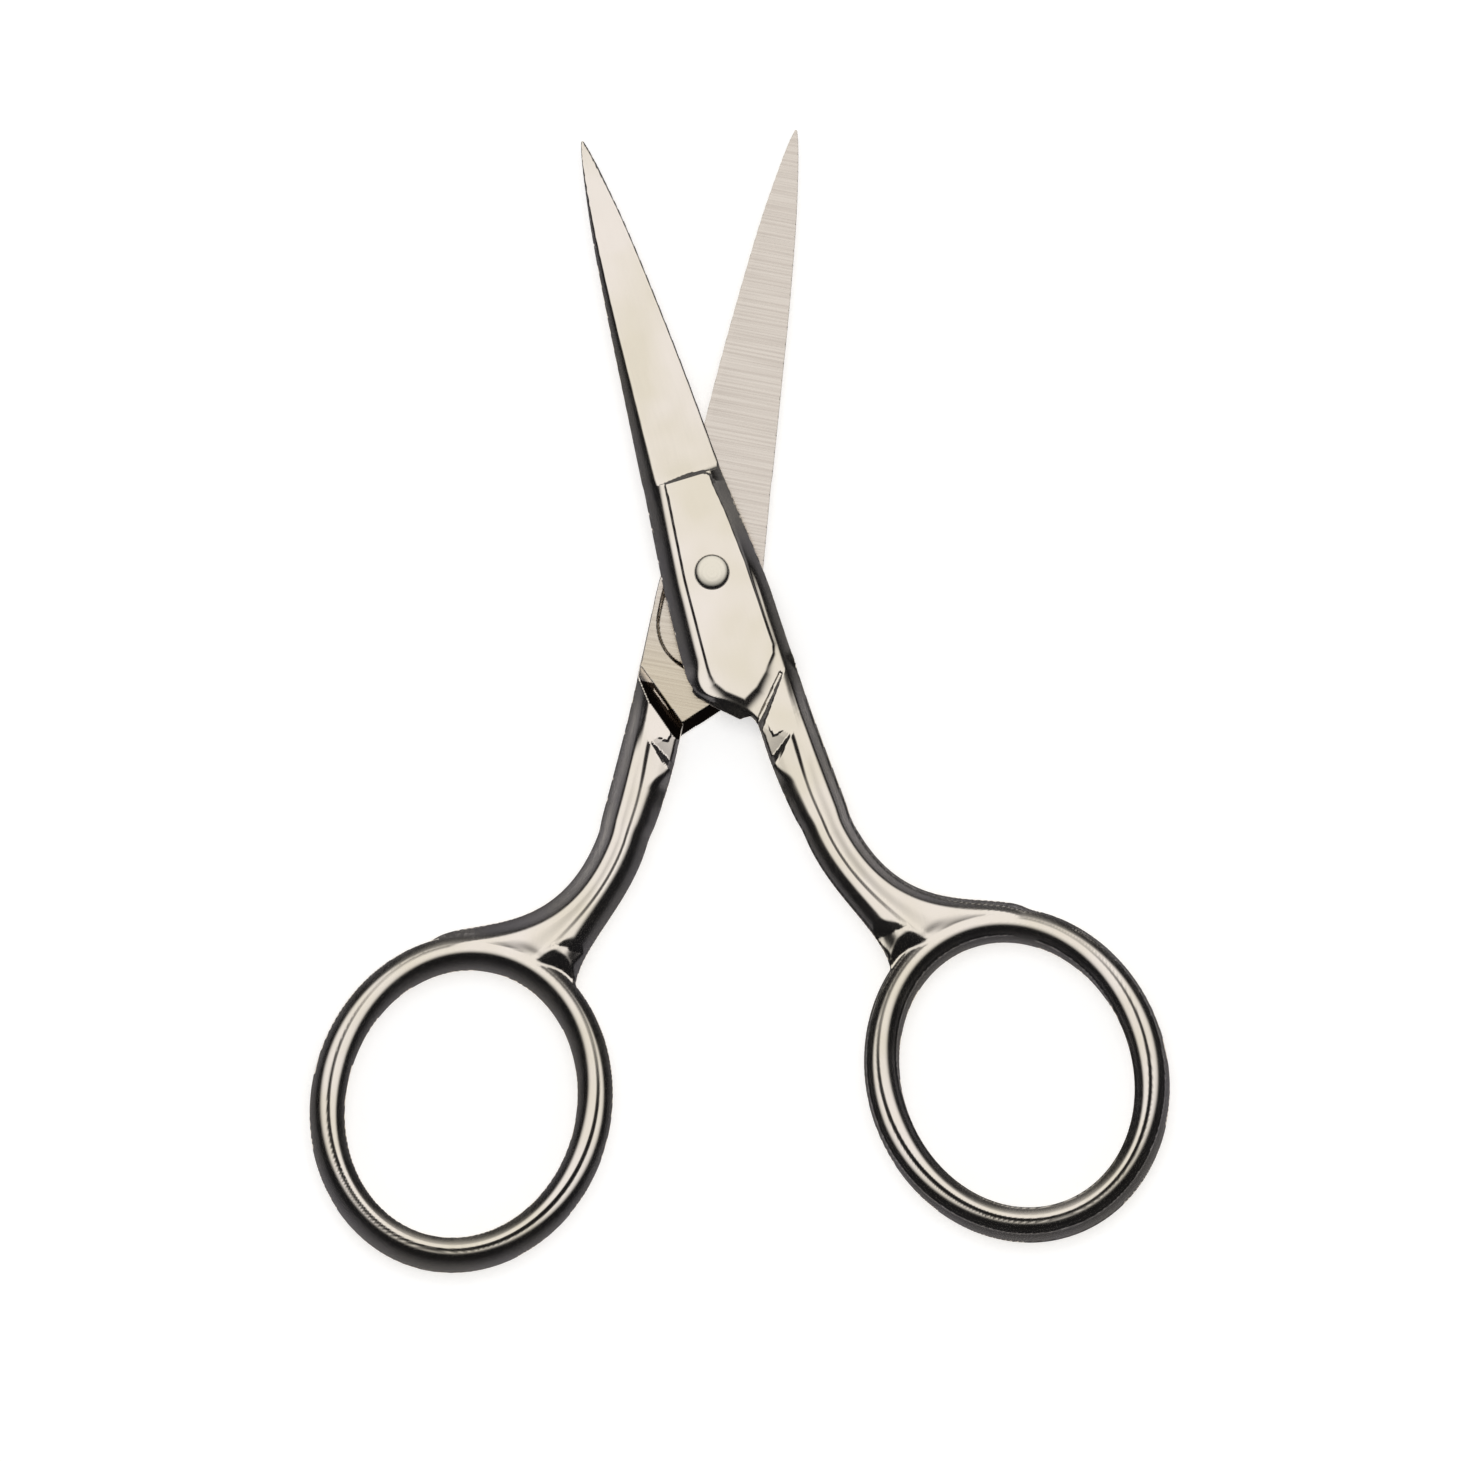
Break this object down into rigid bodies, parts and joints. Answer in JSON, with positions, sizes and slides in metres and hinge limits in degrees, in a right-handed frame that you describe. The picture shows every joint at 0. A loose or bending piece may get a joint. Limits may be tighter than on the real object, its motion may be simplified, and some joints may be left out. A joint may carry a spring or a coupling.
{
  "type": "facial hair scissors",
  "caption": "Small forged scissors with slim pointed blades crossed on a domed rivet, carved shanks and oval finger rings, for trimming facial hair.",
  "frame": {"origin": "on the rivet's axis, in the plane of the rear half's flat pad, on which the scissors lie", "axes": "+Z along the rivet's axis towards its domed head, +Y along the closed blades to their points, +X to the right seen from the head's side"},
  "size_m": [0.0652, 0.0851, 0.004],
  "materials": {
    "polished_nickel": "polished nickel plate on forged steel, with ground inner faces",
    "turned_steel": "polished domed head"
  },
  "bodies": {
    "rear_half": {"rear_half": "polished_nickel", "pivot_rivet": "turned_steel"},
    "front_half": {"front_half": "polished_nickel"}
  },
  "joints": [
    {"name": "blades_pivot", "type": "hinge", "parent": "rear_half", "child": "front_half", "pos_m": [0, 0, 0.00176], "axis": [0, 0, 1], "range_deg": [-26.3, 100]}
  ]
}
